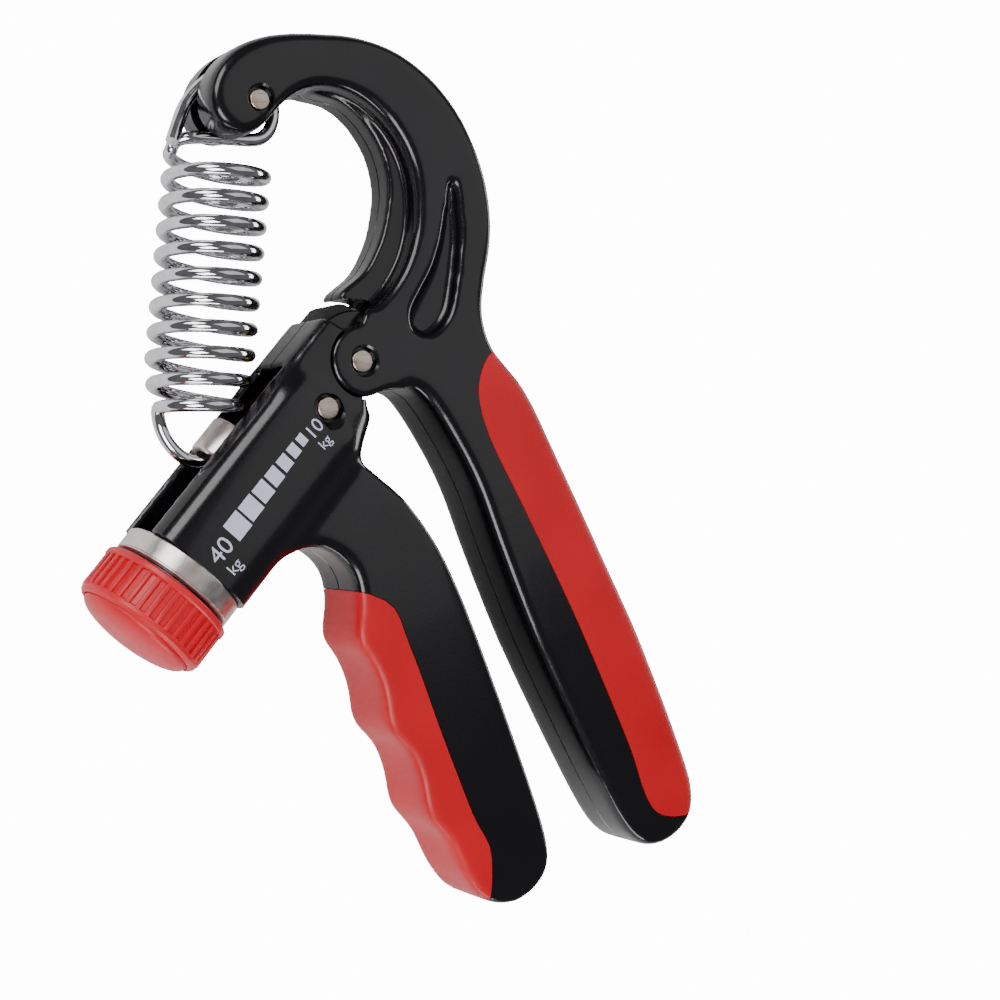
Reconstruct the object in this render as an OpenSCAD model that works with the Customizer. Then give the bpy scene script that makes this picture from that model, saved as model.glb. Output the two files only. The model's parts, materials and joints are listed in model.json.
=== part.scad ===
// Adjustable hand grip strengthener, lying on its side.
// Flat drawings are in "side" coordinates: the main pivot is at 0,0, X points towards the palm handle and
// Y towards the top of the arm. Z is the thickness, and 0 is the plane where the half shells meet.
// Along the barrel, "s" is the distance from the main pivot towards the knob and "n" is the height above
// its axis.

/* [Place] */
// Main pivot, across
pivot_x = -12; // [-30:0.1:0]
// Main pivot, up the page
pivot_y = 20.5; // [0:0.1:30]
// Height of the middle plane above the table
mid_z = 12; // [12:0.1:16]

/* [Handles] */
// Thickness of both handles
grip_t = 16; // [15:0.5:18]
// Wall of each cheek beside the finger handle's eye
cheek_t = 2.8; // [2:0.1:3.2]
// Size of the step that rounds the long edges
edge_step = 1.2; // [0.5:0.1:1.6]
// Thickness of the soft grips over the handles' cores
grip_skin = 2.5; // [1.5:0.1:3]

/* [Pins] */
// Radius of the main pivot pin
pivot_r = 2; // [1.5:0.1:2.2]
// Radius of the spring pin in the tip of the arm
spring_pin_r = 1.8; // [1.5:0.1:2]
// Radius of the barrel pin
barrel_pin_r = 2; // [1.5:0.1:2.2]
// Running clearance of a pin or screw in its hole
run_gap = 0.05; // [0.02:0.01:0.08]

/* [Barrel] */
// Slope of the barrel's axis below level, in degrees
barrel_deg = 50; // [49:0.5:51]
// Length from the main pivot to the barrel's shoulder
barrel_len = 46.4; // [46:0.1:47]
// Half of the barrel's depth
barrel_n = 10.4; // [10:0.1:10.6]
// Half of the barrel's width
barrel_z = 10.4; // [10:0.1:10.6]
// Distance from the main pivot to the barrel pin
barrel_pin_s = 10.9; // [10.5:0.1:11.3]
// Half width of the slot that the nut runs in
slot_half = 5.3; // [5.2:0.1:5.6]

/* [Knob] */
// Outside radius of the nickel collar
collar_r = 11.1; // [11:0.1:11.4]
// Outside radius of the knob
knob_r = 12; // [11.8:0.1:12.1]
// Length of the knob without its cap
knob_len = 8.6; // [8:0.1:9]
// Number of grooves round the knob
knob_grooves = 36; // [24:1:40]

/* [Screw] */
// Radius of the lead screw
screw_r = 2.5; // [2.2:0.1:2.6]
// Place of the nut's middle along the barrel
nut_s = 26.3; // [25:0.1:27]
// Radius of the nut's crown, which the spring hooks under
crown_r = 4.6; // [4.4:0.1:4.8]

/* [Spring] */
// Radius of the spring's wire
wire_r = 1.15; // [1:0.05:1.2]
// Radius of the coils, at the middle of the wire
coil_r = 8.15; // [8:0.05:8.3]
// Rise of one turn
coil_pitch = 4.35; // [4.3:0.05:4.4]
// Number of turns
coil_turns = 10; // [10:1:10]

/* [Hidden] */
round_fn = 64;
half_t = grip_t / 2;
eye_half = half_t - cheek_t;       // inner faces of the cheeks
lug_r = 6.2;                       // cheeks round the main pivot
lug_gap = 0.4;                     // air between a cheek and the finger shell
eye_r = 9;                         // the finger handle's eye, between the cheeks
eye_sector = [[0, 0], [20, 1.7], [20, 20], [-20, 20], [-20, -20], [-5, -20]];   // where it is that wide
buffer_r = 10.5;                   // corner of the buffer on it
buffer_line = [[-6.6, 7.2], [-3.4, 9.9], [-2.4, 9.9], [0.8, 7.4], [0, 5]];
buffer_stop_deg = 71;              // where the wall that stops the buffer stands
washer_t = 0.3;
tongue_half = eye_half - washer_t - 0.05;
spring_pin_xy = [-19.2, 43.1];
tip_slot_half = 1.6;
tip_slot_line = [[-17.5, 58], [-17.5, 54], [-13, 50], [-10, 45.5], [-9, 41], [-9, 34], [-34, 34], [-34, 58]];
pin_recess = 1.4;                  // how deep the pins sit in their holes
crown_n = 7.4;
crown_len = 6.5;
crown_wall = 1.2;
nut_half_len = 3.8;
spigot_r = 9.7;
bush_r = 7.5;                      // bore of the spigot, which the bush fills
journal_s = barrel_pin_s + barrel_pin_r + 0.2;   // end of the screw, which turns in the inner bearing
journal_r = screw_r - 0.5;
bearing_end = barrel_pin_s + 3.2;
collar_len = 4;
slot_s = 10;                       // where the slot begins
neck_len = 14;                     // part of the barrel that is as thick as the handles
neck_line = [[0, barrel_n - 0.8], [3, barrel_n], [neck_len + 1, barrel_n], [neck_len + 1, -barrel_n],
             [12.4, -10.4], [10.3, -7.4], [8.5, -6], [3.3, -4.3], [0, -4]];
knob_s = barrel_len + collar_len + 0.7;
bars = 7;                          // printed scale
bar_s = 19;
bar_n = 0.9;
bar_step = 2.35;
bar_growth = 0.12;
function bar_wide(i) = 1.3 + 0.3 * i;
function bar_tall(i) = 2 + 0.33 * i;
wire_sides = 8;
rings_per_turn = 16;

// A smooth closed line through a few points.
function wrap(p, i) = p[(i + len(p)) % len(p)];
function between(a, b, c, d, t) =
    0.5 * (2 * b + (c - a) * t + (2 * a - 5 * b + 4 * c - d) * t * t + (3 * b - a - 3 * c + d) * t * t * t);
function smooth(p, steps = 4) =
    [for (i = [0:len(p) - 1], k = [0:steps - 1])
        between(wrap(p, i - 1), wrap(p, i), wrap(p, i + 1), wrap(p, i + 2), k / steps)];
// The same line without its joining stretch, for wires.
function open_smooth(p, steps = 4) =
    concat([for (i = [0:len(p) - 2], k = [0:steps - 1])
        between(p[max(i - 1, 0)], p[i], p[i + 1], p[min(i + 2, len(p) - 1)], k / steps)], [p[len(p) - 1]]);
// Moves a clockwise outline inwards.
function inset(p, d) =
    [for (i = [0:len(p) - 1]) let (t = wrap(p, i + 1) - wrap(p, i - 1)) p[i] + d * [t[1], -t[0]] / norm(t)];
// A point of the barrel in side coordinates.
function on_barrel(s, n) = let (c = cos(barrel_deg), d = sin(barrel_deg)) [-c * s - d * n, c * n - d * s];

palm_line = smooth([[-28.3, 43], [-27, 47.5], [-23, 51.8], [-17, 54.5], [-9, 55.8], [0, 56.1], [7.9, 54.2],
    [15.1, 49.7], [20.4, 43.7], [24.2, 36.2], [26, 28.9], [26, 21.4], [24.6, 14], [24.6, 8], [26.8, 3],
    [30.5, -0.6], [34.3, -5.2], [38.5, -12.6], [44.8, -24], [51.3, -36], [57.6, -47.6], [63.4, -59.8],
    [68.4, -71.2], [71.2, -79], [70.8, -84.6], [66.9, -88.5], [61.3, -90], [57, -87.6], [53, -82.5],
    [47, -72.3], [40.5, -60.5], [34, -48], [27.3, -33], [22.5, -21.5], [17.3, -12.8], [12.5, -6.4], [9, -4.2],
    [5, -4.6], [1.2, -5.4], [-2.4, -3.9], [-4, 0.4], [-3, 4.6], [0.2, 7.6], [3.8, 11], [6.8, 14.8], [9, 19.2],
    [10.2, 24], [10.4, 28.5], [9.8, 33], [8, 37.6], [4.6, 42], [-0.2, 45.4], [-6, 46.8], [-11.5, 45.5],
    [-15.6, 42], [-18.4, 38.7], [-22, 36.8], [-25.6, 37.6], [-27.8, 40]]);
nose_line = smooth([[-9, 50], [-9, 46.4], [-3, 45.3], [1.1, 42.9], [4.3, 39.2], [6.1, 35.4], [6.9, 31],
    [6.4, 26], [5.1, 21.3], [2.2, 16], [-2.8, 11.3], [2, 9], [9, 14], [14, 24], [13, 37], [4, 48]]);
palm_grip_line = smooth([[36, 4], [27, 3], [24, 0.5], [22.8, -5], [25, -12.5], [31.5, -24], [38, -35.5],
    [44, -46.5], [50, -58.5], [56, -71], [59.5, -80], [63.5, -84], [72, -84], [84, -80], [72, -50],
    [50, -12]]);
finger_line = smooth([[8.8, -24.2], [15, -32], [20.8, -43], [28, -60], [34.2, -75.5], [38, -87],
    [37.2, -93], [31.5, -97], [25, -96.2], [20.2, -91], [16.8, -84.5], [12.6, -79.6], [11.2, -73.5],
    [9, -68.3], [5, -63.8], [3.8, -57.6], [1.6, -52.4], [-1.2, -48.4], [-0.8, -42.6], [-1.6, -37.4],
    [-5, -33.6], [-9.3, -32], [-13.5, -33.3], [-17.5, -35], [-20.7, -33], [-20.7, -28.5], [-17, -23],
    [-12, -18.5], [-7.5, -15.6], [-3.5, -15.5], [0.2, -17.6], [3.8, -20.2]]);
finger_grip_line = smooth([[4, -41.5], [9, -50], [15.5, -66], [21.5, -80], [25.5, -88.5], [22, -101],
    [0, -90], [-8, -62], [-9, -41]]);

module place() {
    translate([pivot_x, pivot_y, mid_z]) children();
}

// Turns what is drawn along +Z into a piece along the barrel. Its X goes across the thickness and its Y up
// the n way.
module along_barrel() {
    rotate([0, 0, 180 + barrel_deg]) rotate([0, 90, 0]) rotate([0, 0, 180]) children();
}

// A round piece on the barrel's axis.
module barrel_disc(s0, s1, r, n = 0) {
    along_barrel() translate([0, n, s0]) cylinder(h = s1 - s0, r = r, $fn = round_fn);
}

// A round pin or hole through the thickness.
module cross_pin(xy, r, z0, z1) {
    translate([xy[0], xy[1], z0]) cylinder(h = z1 - z0, r = r, $fn = round_fn);
}

// Half of a flat body with its long edge stepped to look round.
module half_body(line) {
    linear_extrude(height = half_t - 2 * edge_step) polygon(line);
    linear_extrude(height = half_t - edge_step / 2) polygon(inset(line, edge_step / 2));
    linear_extrude(height = half_t) polygon(inset(line, 1.5 * edge_step));
}

// Near half of the palm handle and its gooseneck arm.
module palm_half() {
    difference() {
        union() {
            difference() {
                half_body(palm_line);
                translate([0, 0, -1]) linear_extrude(height = grip_t) polygon(palm_grip_line);
            }
            intersection() {
                linear_extrude(height = half_t - grip_skin) polygon(inset(palm_line, grip_skin));
                linear_extrude(height = grip_t) polygon(palm_grip_line);
            }
            linear_extrude(height = 3.8) polygon(nose_line);
            cross_pin([0, 0], lug_r, 0, half_t);
        }
        // pocket for the finger handle's eye and its buffer
        cross_pin([0, 0], eye_r + 0.4, -1, eye_half);
        translate([0, 0, -1]) linear_extrude(height = eye_half + 1)
            polygon(concat([[0, 0]],
                [for (a = [buffer_stop_deg:8:167]) (buffer_r + 0.7) * [cos(a), sin(a)]]));
        // slot in the tip, where the spring hooks over its pin
        translate([0, 0, -1]) linear_extrude(height = tip_slot_half + 1) polygon(tip_slot_line);
        cross_pin([0, 0], pivot_r, -1, half_t + 1);
        cross_pin([0, 0], pivot_r + 0.5, half_t - pin_recess, half_t + 1);
        cross_pin(spring_pin_xy, spring_pin_r, -1, half_t + 1);
        cross_pin(spring_pin_xy, spring_pin_r + 0.5, half_t - pin_recess, half_t + 1);
    }
}

module palm_shell_near() {
    color("#17171a") place() palm_half();
}

module palm_shell_far() {
    color("#1d1d20") place() mirror([0, 0, 1]) palm_half();
}

// A soft skin over the outer side of a handle: its outline less the core inside it.
module grip(line, region) {
    intersection() {
        union() for (side = [0, 1]) mirror([0, 0, side]) half_body(line);
        difference() {
            translate([0, 0, -half_t - 1]) linear_extrude(height = grip_t + 2) polygon(region);
            translate([0, 0, grip_skin - half_t]) linear_extrude(height = 2 * (half_t - grip_skin))
                polygon(inset(line, grip_skin));
        }
    }
}

module palm_grip() {
    color("#c8202c") place() grip(palm_line, palm_grip_line);
}

module finger_grip() {
    color("#c8202c") place() grip(finger_line, finger_grip_line);
}

module pivot_pin() {
    color("#c9c9c9") place() cross_pin([0, 0], pivot_r, -half_t + pin_recess, half_t - pin_recess);
}

module spring_pin() {
    color("#c9c9c9") place()
        cross_pin(spring_pin_xy, spring_pin_r, -half_t + pin_recess, half_t - pin_recess);
}

module barrel_pin() {
    half = half_t - pin_recess / 2;
    color("#c9c9c9") place() cross_pin(on_barrel(barrel_pin_s, 0), barrel_pin_r, -half, half);
}

module pivot_washers() {
    color("#d8d8d8") place() for (side = [0, 1]) mirror([0, 0, side]) difference() {
        cross_pin([0, 0], lug_r - 1, tongue_half, tongue_half + washer_t);
        cross_pin([0, 0], pivot_r + run_gap, tongue_half - 1, tongue_half + 1);
    }
}

// Cross-section of the barrel: a square with round corners.
function corner(cx, cz, r, a0) = [for (a = [a0:15:a0 + 90]) [cx + r * cos(a), cz + r * sin(a)]];
function rounded(nn, zz, r) = concat(corner(nn - r, zz - r, r, 0), corner(r - nn, zz - r, r, 90),
    corner(r - nn, r - zz, r, 180), corner(nn - r, r - zz, r, 270));

module barrel_body() {
    linear_extrude(height = half_t) polygon([for (p = neck_line) on_barrel(p[0], p[1])]);
    along_barrel() translate([0, 0, neck_len]) linear_extrude(height = barrel_len - neck_len)
        polygon(rounded(barrel_z, barrel_n, 6.5));
    barrel_disc(barrel_len, barrel_len + collar_len, spigot_r);
}

// Near half of the finger handle and the barrel.
module finger_half() {
    difference() {
        union() {
            difference() {
                union() {
                    difference() {
                        half_body(finger_line);
                        translate([0, 0, -1]) linear_extrude(height = grip_t) polygon(finger_grip_line);
                    }
                    intersection() {
                        linear_extrude(height = half_t - grip_skin) polygon(inset(finger_line, grip_skin));
                        linear_extrude(height = grip_t) polygon(finger_grip_line);
                    }
                    barrel_body();
                }
                // room for the cheeks, all the way round the main pivot
                cross_pin([0, 0], lug_r + lug_gap, tongue_half, 20);
            }
            cross_pin([0, 0], lug_r, 0, tongue_half);
            intersection() {
                cross_pin([0, 0], eye_r, 0, tongue_half);
                linear_extrude(height = tongue_half) polygon(eye_sector);
            }
        }
        translate([-60, -60, -40]) cube([120, 120, 40]);
        cross_pin([0, 0], pivot_r + run_gap, -1, half_t + 20);
        cross_pin(on_barrel(barrel_pin_s, 0), barrel_pin_r, -1, 20);
        cross_pin(on_barrel(barrel_pin_s, 0), barrel_pin_r + 0.5, half_t - pin_recess / 2, 20);
        // slot and bore for the nut, from the inner bearing to the bush
        barrel_disc(barrel_pin_s - 3.3, barrel_len - 3, slot_half);
        along_barrel() translate([-slot_half, 0, slot_s]) cube([2 * slot_half, 20, barrel_len - slot_s]);
        barrel_disc(barrel_len - 4, barrel_len + collar_len + 1, bush_r);
    }
}

module finger_shell_near() {
    color("#17171a") place() finger_half();
}

module finger_shell_far() {
    color("#1d1d20") place() mirror([0, 0, 1]) finger_half();
}

// Rubber nose on the eye of the finger handle. It stops the handles from opening too far.
module stop_buffer() {
    color("#2a2a2b") place() difference() {
        linear_extrude(height = 2 * eye_half - 0.8, center = true)
            polygon(concat([on_barrel(0, 6), on_barrel(0, barrel_n - 0.9)], buffer_line));
        cross_pin([0, 0], eye_r, -20, 20);
    }
}

module collar() {
    color("#d9d4cf") place() difference() {
        barrel_disc(barrel_len, barrel_len + collar_len, collar_r);
        barrel_disc(barrel_len - 1, barrel_len + collar_len + 1, spigot_r);
    }
}

module inner_bearing() {
    color("#b9a06a") place() difference() {
        barrel_disc(barrel_pin_s - 3.2, bearing_end, slot_half - 0.02);
        barrel_disc(journal_s - 0.1, bearing_end + 1, journal_r + run_gap);
        cross_pin(on_barrel(barrel_pin_s, 0), barrel_pin_r, -20, 20);
    }
}

// Flanged bush in the mouth of the barrel, where the lead screw turns.
module outer_bush() {
    color("#b9a06a") place() difference() {
        union() {
            barrel_disc(barrel_len - 2, barrel_len + collar_len, bush_r - 0.02);
            barrel_disc(barrel_len - 2.9, barrel_len - 2, slot_half - 0.1);
        }
        barrel_disc(barrel_len - 5, barrel_len + 6, screw_r + run_gap);
    }
}

module thrust_washer() {
    color("#dddddd") place() difference() {
        barrel_disc(barrel_len + collar_len + 0.02, barrel_len + collar_len + 0.5, 9);
        barrel_disc(barrel_len, barrel_len + 8, screw_r + 0.3);
    }
}

// Printed bars that grow towards the heavy end of the scale.
module scale_print() {
    color("#e6e6f5") place() for (i = [0:bars - 1])
        translate([0, 0, barrel_z]) translate(on_barrel(bar_s + bar_step * i + bar_growth * i * i, bar_n))
            rotate([0, 0, barrel_deg]) translate([-bar_wide(i) / 2, -bar_tall(i) / 2, 0])
                cube([bar_wide(i), bar_tall(i), 0.1]);
}

module lead_screw() {
    color("#b4b4b8") place() union() {
        barrel_disc(journal_s, bearing_end + 0.1, journal_r);
        barrel_disc(bearing_end + 0.1, knob_s + 4.5, screw_r);
    }
}

// Retaining clip that keeps the screw from being pulled out through the bush.
module screw_clip() {
    color("#8d8d90") place() difference() {
        barrel_disc(barrel_len - 4.1, barrel_len - 3.2, 4.2);
        barrel_disc(barrel_len - 5, barrel_len - 2, screw_r);
    }
}

module knob() {
    color("#cf2430") place() difference() {
        union() {
            barrel_disc(knob_s, knob_s + 1.2, knob_r);
            barrel_disc(knob_s + 1.2, knob_s + knob_len - 1.4, knob_r - 0.5);
            for (i = [0:knob_grooves - 1]) along_barrel() rotate([0, 0, i * 360 / knob_grooves])
                translate([knob_r - 1.2, -0.45, knob_s + 1]) cube([1, 0.9, knob_len - 2.2]);
            barrel_disc(knob_s + knob_len - 1.4, knob_s + knob_len, knob_r - 0.3);
        }
        barrel_disc(knob_s + 4.6, knob_s + knob_len + 1, knob_r - 1.6);
        barrel_disc(knob_s - 1, knob_s + knob_len, screw_r);
    }
}

module knob_cap() {
    color("#cf2430") place() along_barrel() translate([0, 0, knob_s + knob_len - 1])
        rotate_extrude($fn = round_fn) polygon(concat([[0, 0], [knob_r - 1.65, 0]],
            [for (a = [0:10:90]) [(knob_r - 1.65) * cos(a), 1 + 2.6 * sin(a)]]));
}

module knob_screw() {
    color("#9a9a9e") place() difference() {
        barrel_disc(knob_s + 4.62, knob_s + 6.4, 4);
        barrel_disc(knob_s + 5.6, knob_s + 8, 1.2);
    }
}

// Nut on the lead screw with a half-round crown that the spring hooks under.
module travel_nut() {
    color("#cfcac4") place() difference() {
        union() {
            barrel_disc(nut_s - nut_half_len, nut_s + nut_half_len, slot_half - 0.35);
            barrel_disc(nut_s - crown_len / 2, nut_s + crown_len / 2, crown_r, crown_n);
            along_barrel() translate([-crown_r, 0, nut_s - crown_len / 2])
                cube([2 * crown_r, crown_n, crown_len]);
        }
        barrel_disc(nut_s - 5, nut_s + 5, screw_r + run_gap);
        barrel_disc(nut_s - 2.6, nut_s + 5, crown_r - crown_wall, crown_n);
        along_barrel() translate([crown_wall - crown_r, 5, nut_s - 2.6])
            cube([2 * (crown_r - crown_wall), crown_n - 5, 9]);
    }
}

// Wires: rings across a path, with one axis of each ring in the direction "up".
function ring(c, t, up, r) = let (u = t / norm(t), v = cross(u, up) / norm(cross(u, up)), w = cross(v, u))
    [for (k = [0:wire_sides - 1]) c + r * (cos(360 * k / wire_sides) * v + sin(360 * k / wire_sides) * w)];
module wire(path, up) {
    n = len(path);
    rings = [for (i = [0:n - 1]) ring(path[i], path[min(i + 1, n - 1)] - path[max(i - 1, 0)], up, wire_r)];
    points = [for (r = rings, p = r) p];
    polyhedron(points = points, convexity = 6, faces = concat(
        [[for (k = [0:wire_sides - 1]) k]], [[for (k = [wire_sides - 1:-1:0]) (n - 1) * wire_sides + k]],
        [for (i = [0:n - 2], k = [0:wire_sides - 1])
            let (a = i * wire_sides + k, b = i * wire_sides + (k + 1) % wire_sides)
                [a, a + wire_sides, b + wire_sides, b]]));
}

spring_low = [-27.9, -9.4];        // lowest point of the coils' axis
spring_tilt = 5.4;
wire_gap = 0.07;                   // part of a turn between the coils and each hook
coil_rings = coil_turns * rings_per_turn;
spring_up = [sin(spring_tilt), cos(spring_tilt), 0];
spring_side = [cos(spring_tilt), -sin(spring_tilt), 0];
// The first two turns are narrower, so that the spring ends over its lower hook.
function turn_r(turn) = coil_r - 1.1 * max(0, 1 - turn / 2);
function coil_point(turn) = let (a = 180 + 360 * turn)
    [spring_low[0], spring_low[1], 0] + spring_up * (coil_pitch * turn)
        + turn_r(turn) * (spring_side * cos(a) - [0, 0, 1] * sin(a));

lower_hook_line = open_smooth([[-22.3, -14.2, 0], [-23.4, -15.4, 0], [-25.3, -16.9, 0], [-27.8, -17.6, 0],
    [-30.5, -16.6, 0], [-32.8, -14.3, 0], [-34.2, -11.3, 0],
    [coil_point(0.02)[0], coil_point(0.02)[1], 0.3]], 4);
upper_hook_line = open_smooth([coil_point(coil_turns - 0.02), [-30.9, 36.3, -1], [-28.4, 37, 0],
    [-22.5, 37.4, 0], [-17.2, 37.7, 0], [-14.9, 39, 0], [-13.8, 41.4, 0], [-13.9, 44.5, 0], [-15.3, 47.2, 0],
    [-18, 49.1, 0], [-21.3, 49.4, 0], [-24.4, 47.9, 0], [-27.2, 45.2, 0], [-29.4, 42, 0.2], [-31, 38.8, 1.6],
    [-32.4, 35.4, 2.6]], 4);

module spring_lower_hook() {
    color("#d4d4d8") place() wire(lower_hook_line, [0, 0, 1]);
}

module spring_coils() {
    color("#d4d4d8") place()
        wire([for (i = [0:coil_rings])
            coil_point(wire_gap + i * (coil_turns - 2 * wire_gap) / coil_rings)], spring_up);
}

module spring_upper_hook() {
    color("#d4d4d8") place() wire(upper_hook_line, [0, 0, 1]);
}

palm_shell_near();
palm_shell_far();
palm_grip();
pivot_pin();
pivot_washers();
spring_pin();
finger_shell_near();
finger_shell_far();
finger_grip();
stop_buffer();
collar();
barrel_pin();
inner_bearing();
outer_bush();
thrust_washer();
scale_print();
lead_screw();
screw_clip();
knob();
knob_cap();
knob_screw();
travel_nut();
spring_lower_hook();
spring_coils();
spring_upper_hook();
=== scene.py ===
# Adjustable hand grip strengthener, lying on its side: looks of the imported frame.
# Shapes are drawn in millimetres round the main pivot and then moved to the frame, in metres.
import json
import math
import bmesh
import bpy
from mathutils import Matrix, Vector
from mathutils.kdtree import KDTree


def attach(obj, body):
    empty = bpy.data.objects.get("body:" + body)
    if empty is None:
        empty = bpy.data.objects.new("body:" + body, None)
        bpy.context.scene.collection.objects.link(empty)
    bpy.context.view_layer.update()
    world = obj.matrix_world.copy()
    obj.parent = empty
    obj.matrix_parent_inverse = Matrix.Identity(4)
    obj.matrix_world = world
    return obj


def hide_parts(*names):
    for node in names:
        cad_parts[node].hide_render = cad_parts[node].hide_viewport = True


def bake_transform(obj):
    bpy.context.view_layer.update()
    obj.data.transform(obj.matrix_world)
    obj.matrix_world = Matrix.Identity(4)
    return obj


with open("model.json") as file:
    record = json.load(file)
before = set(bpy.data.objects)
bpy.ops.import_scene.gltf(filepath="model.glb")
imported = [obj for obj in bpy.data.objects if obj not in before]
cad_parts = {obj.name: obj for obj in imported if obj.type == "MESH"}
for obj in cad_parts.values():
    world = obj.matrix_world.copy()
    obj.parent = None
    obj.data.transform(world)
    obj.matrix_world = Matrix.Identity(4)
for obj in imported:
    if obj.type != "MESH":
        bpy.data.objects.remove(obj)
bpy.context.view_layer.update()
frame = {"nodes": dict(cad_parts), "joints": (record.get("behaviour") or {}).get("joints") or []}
joints = {joint["name"]: joint for joint in frame["joints"]}
pivot = Vector(joints["squeeze"]["pos_m"])
toFrame = Matrix.Translation(pivot) @ Matrix.Scale(0.001, 4)
farOut = 20   # past every face, for tools that cut right through

# places along the barrel
barrelSlope = math.radians(50)
barrelDown = Vector((-math.cos(barrelSlope), -math.sin(barrelSlope), 0))   # from the pivot to the knob
barrelUp = Vector((-math.sin(barrelSlope), math.cos(barrelSlope), 0))      # square to it, on the spring's side
barrelTurn = Matrix((Vector((0, 0, 1)), barrelUp, barrelDown)).transposed().to_4x4()


def onBarrel(along, above, z=0):
    return barrelDown * along + barrelUp * above + Vector((0, 0, z))


# small helpers for lines, meshes and modifiers
def curveThrough(a, b, c, d, t):
    return 0.5 * (2 * b + (c - a) * t + (2 * a - 5 * b + 4 * c - d) * t * t + (3 * b - a - 3 * c + d) * t ** 3)


def closedLine(points, steps=4):
    p = [Vector(q) for q in points]
    return [curveThrough(p[i - 1], p[i], p[(i + 1) % len(p)], p[(i + 2) % len(p)], k / steps)
            for i in range(len(p)) for k in range(steps)]


def openLine(points, steps=8):
    p = [Vector(q) for q in points]
    last = len(p) - 1
    return [curveThrough(p[max(i - 1, 0)], p[i], p[i + 1], p[min(i + 2, last)], k / steps)
            for i in range(last) for k in range(steps)] + [p[last]]


def pieceFrom(bm, name):
    mesh = bpy.data.meshes.new(name)
    bm.to_mesh(mesh)
    bm.free()
    piece = bpy.data.objects.new(name, mesh)
    bpy.context.scene.collection.objects.link(piece)
    return piece


def freeze(piece):
    graph = bpy.context.evaluated_depsgraph_get()
    mesh = bpy.data.meshes.new_from_object(piece.evaluated_get(graph))
    piece.modifiers.clear()
    piece.data = mesh
    return piece


def joined(name, *pieces):
    bm = bmesh.new()
    for piece in pieces:
        bm.from_mesh(piece.data)
        bpy.data.objects.remove(piece)
    return pieceFrom(bm, name)


def copyOf(piece, name):
    twin = bpy.data.objects.new(name, piece.data.copy())
    bpy.context.scene.collection.objects.link(twin)
    return twin


def remelt(piece, voxel, softening):
    # one skin over everything that overlaps, with its edges softened
    remesh = piece.modifiers.new("skin", "REMESH")
    remesh.mode = "VOXEL"
    remesh.voxel_size = voxel
    smooth = piece.modifiers.new("soften", "SMOOTH")
    smooth.factor = 0.5
    smooth.iterations = softening
    return freeze(piece)


def combine(piece, tool, operation):
    boolean = piece.modifiers.new("cut", "BOOLEAN")
    boolean.object = tool
    boolean.operation = operation
    boolean.solver = "MANIFOLD"
    freeze(piece)
    bpy.data.objects.remove(tool)
    return piece


def plate(name, line, low, high):
    # a flat outline given thickness
    bm = bmesh.new()
    outline = bm.faces.new([bm.verts.new((p[0], p[1], low)) for p in line])
    grown = bmesh.ops.extrude_face_region(bm, geom=[outline])["geom"]
    bmesh.ops.translate(bm, verts=[g for g in grown if isinstance(g, bmesh.types.BMVert)], vec=(0, 0, high - low))
    bmesh.ops.recalc_face_normals(bm, faces=bm.faces)
    return pieceFrom(bm, name)


def rod(name, radius, low, high, bevel=0.0, sides=96, turn=Matrix.Identity(4)):
    # a round bar along its own z, with bevelled rims
    bm = bmesh.new()
    bmesh.ops.create_cone(bm, cap_ends=True, segments=sides, radius1=radius, radius2=radius, depth=high - low,
                          matrix=Matrix.Translation((0, 0, (low + high) / 2)))
    if bevel:
        rims = [e for e in bm.edges if any(len(f.verts) > 4 for f in e.link_faces)]
        bmesh.ops.bevel(bm, geom=rims, offset=bevel, segments=3, profile=0.5, affect="EDGES", material=-1)
    bmesh.ops.transform(bm, matrix=turn, verts=bm.verts)
    return pieceFrom(bm, name)


def box(name, lowCorner, highCorner, turn=Matrix.Identity(4), bevel=0.0):
    low, high = Vector(lowCorner), Vector(highCorner)
    bm = bmesh.new()
    bmesh.ops.create_cube(bm, size=1, matrix=Matrix.Translation((low + high) / 2)
                          @ Matrix.Diagonal((*(high - low), 1)))
    if bevel:
        bmesh.ops.bevel(bm, geom=bm.edges, offset=bevel, segments=2, profile=0.5, affect="EDGES", material=-1)
    bmesh.ops.transform(bm, matrix=turn, verts=bm.verts)
    return pieceFrom(bm, name)


def turned(name, profile, turn, steps=128):
    # a profile of (radius, along) spun round the axis
    bm = bmesh.new()
    verts = [bm.verts.new((radius, 0, along)) for radius, along in profile]
    edges = [bm.edges.new(pair) for pair in zip(verts, verts[1:])]
    if profile[0][0] > 0 and profile[-1][0] > 0:
        edges.append(bm.edges.new((verts[-1], verts[0])))
    bmesh.ops.spin(bm, geom=verts + edges, cent=(0, 0, 0), axis=(0, 0, 1), angle=2 * math.pi, steps=steps,
                   use_merge=True)
    bmesh.ops.remove_doubles(bm, verts=bm.verts, dist=0.0005)
    bmesh.ops.recalc_face_normals(bm, faces=bm.faces)
    bmesh.ops.transform(bm, matrix=turn, verts=bm.verts)
    return pieceFrom(bm, name)


def shellHalf(piece, name, side):
    # one half of a body, with a fine chamfer where it meets the other
    bm = bmesh.new()
    bm.from_mesh(piece.data)
    for height, clear in ((side * seam["width"], False), (0, True)):
        bmesh.ops.bisect_plane(bm, geom=bm.verts[:] + bm.edges[:] + bm.faces[:], dist=0.0001, clear_inner=clear,
                               plane_co=(0, 0, height), plane_no=(0, 0, side))
    rim = [e for e in bm.edges if len(e.link_faces) == 1]
    pushes = {v: sum((f.normal for f in v.link_faces), Vector()) for e in rim for v in e.verts}
    for vert, push in pushes.items():
        push.z = 0
        if push.length > 0.01:
            vert.co -= push.normalized() * seam["depth"]
    bmesh.ops.triangle_fill(bm, use_beauty=True, edges=rim, normal=(0, 0, -side))
    bmesh.ops.recalc_face_normals(bm, faces=bm.faces)
    return pieceFrom(bm, name)


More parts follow.
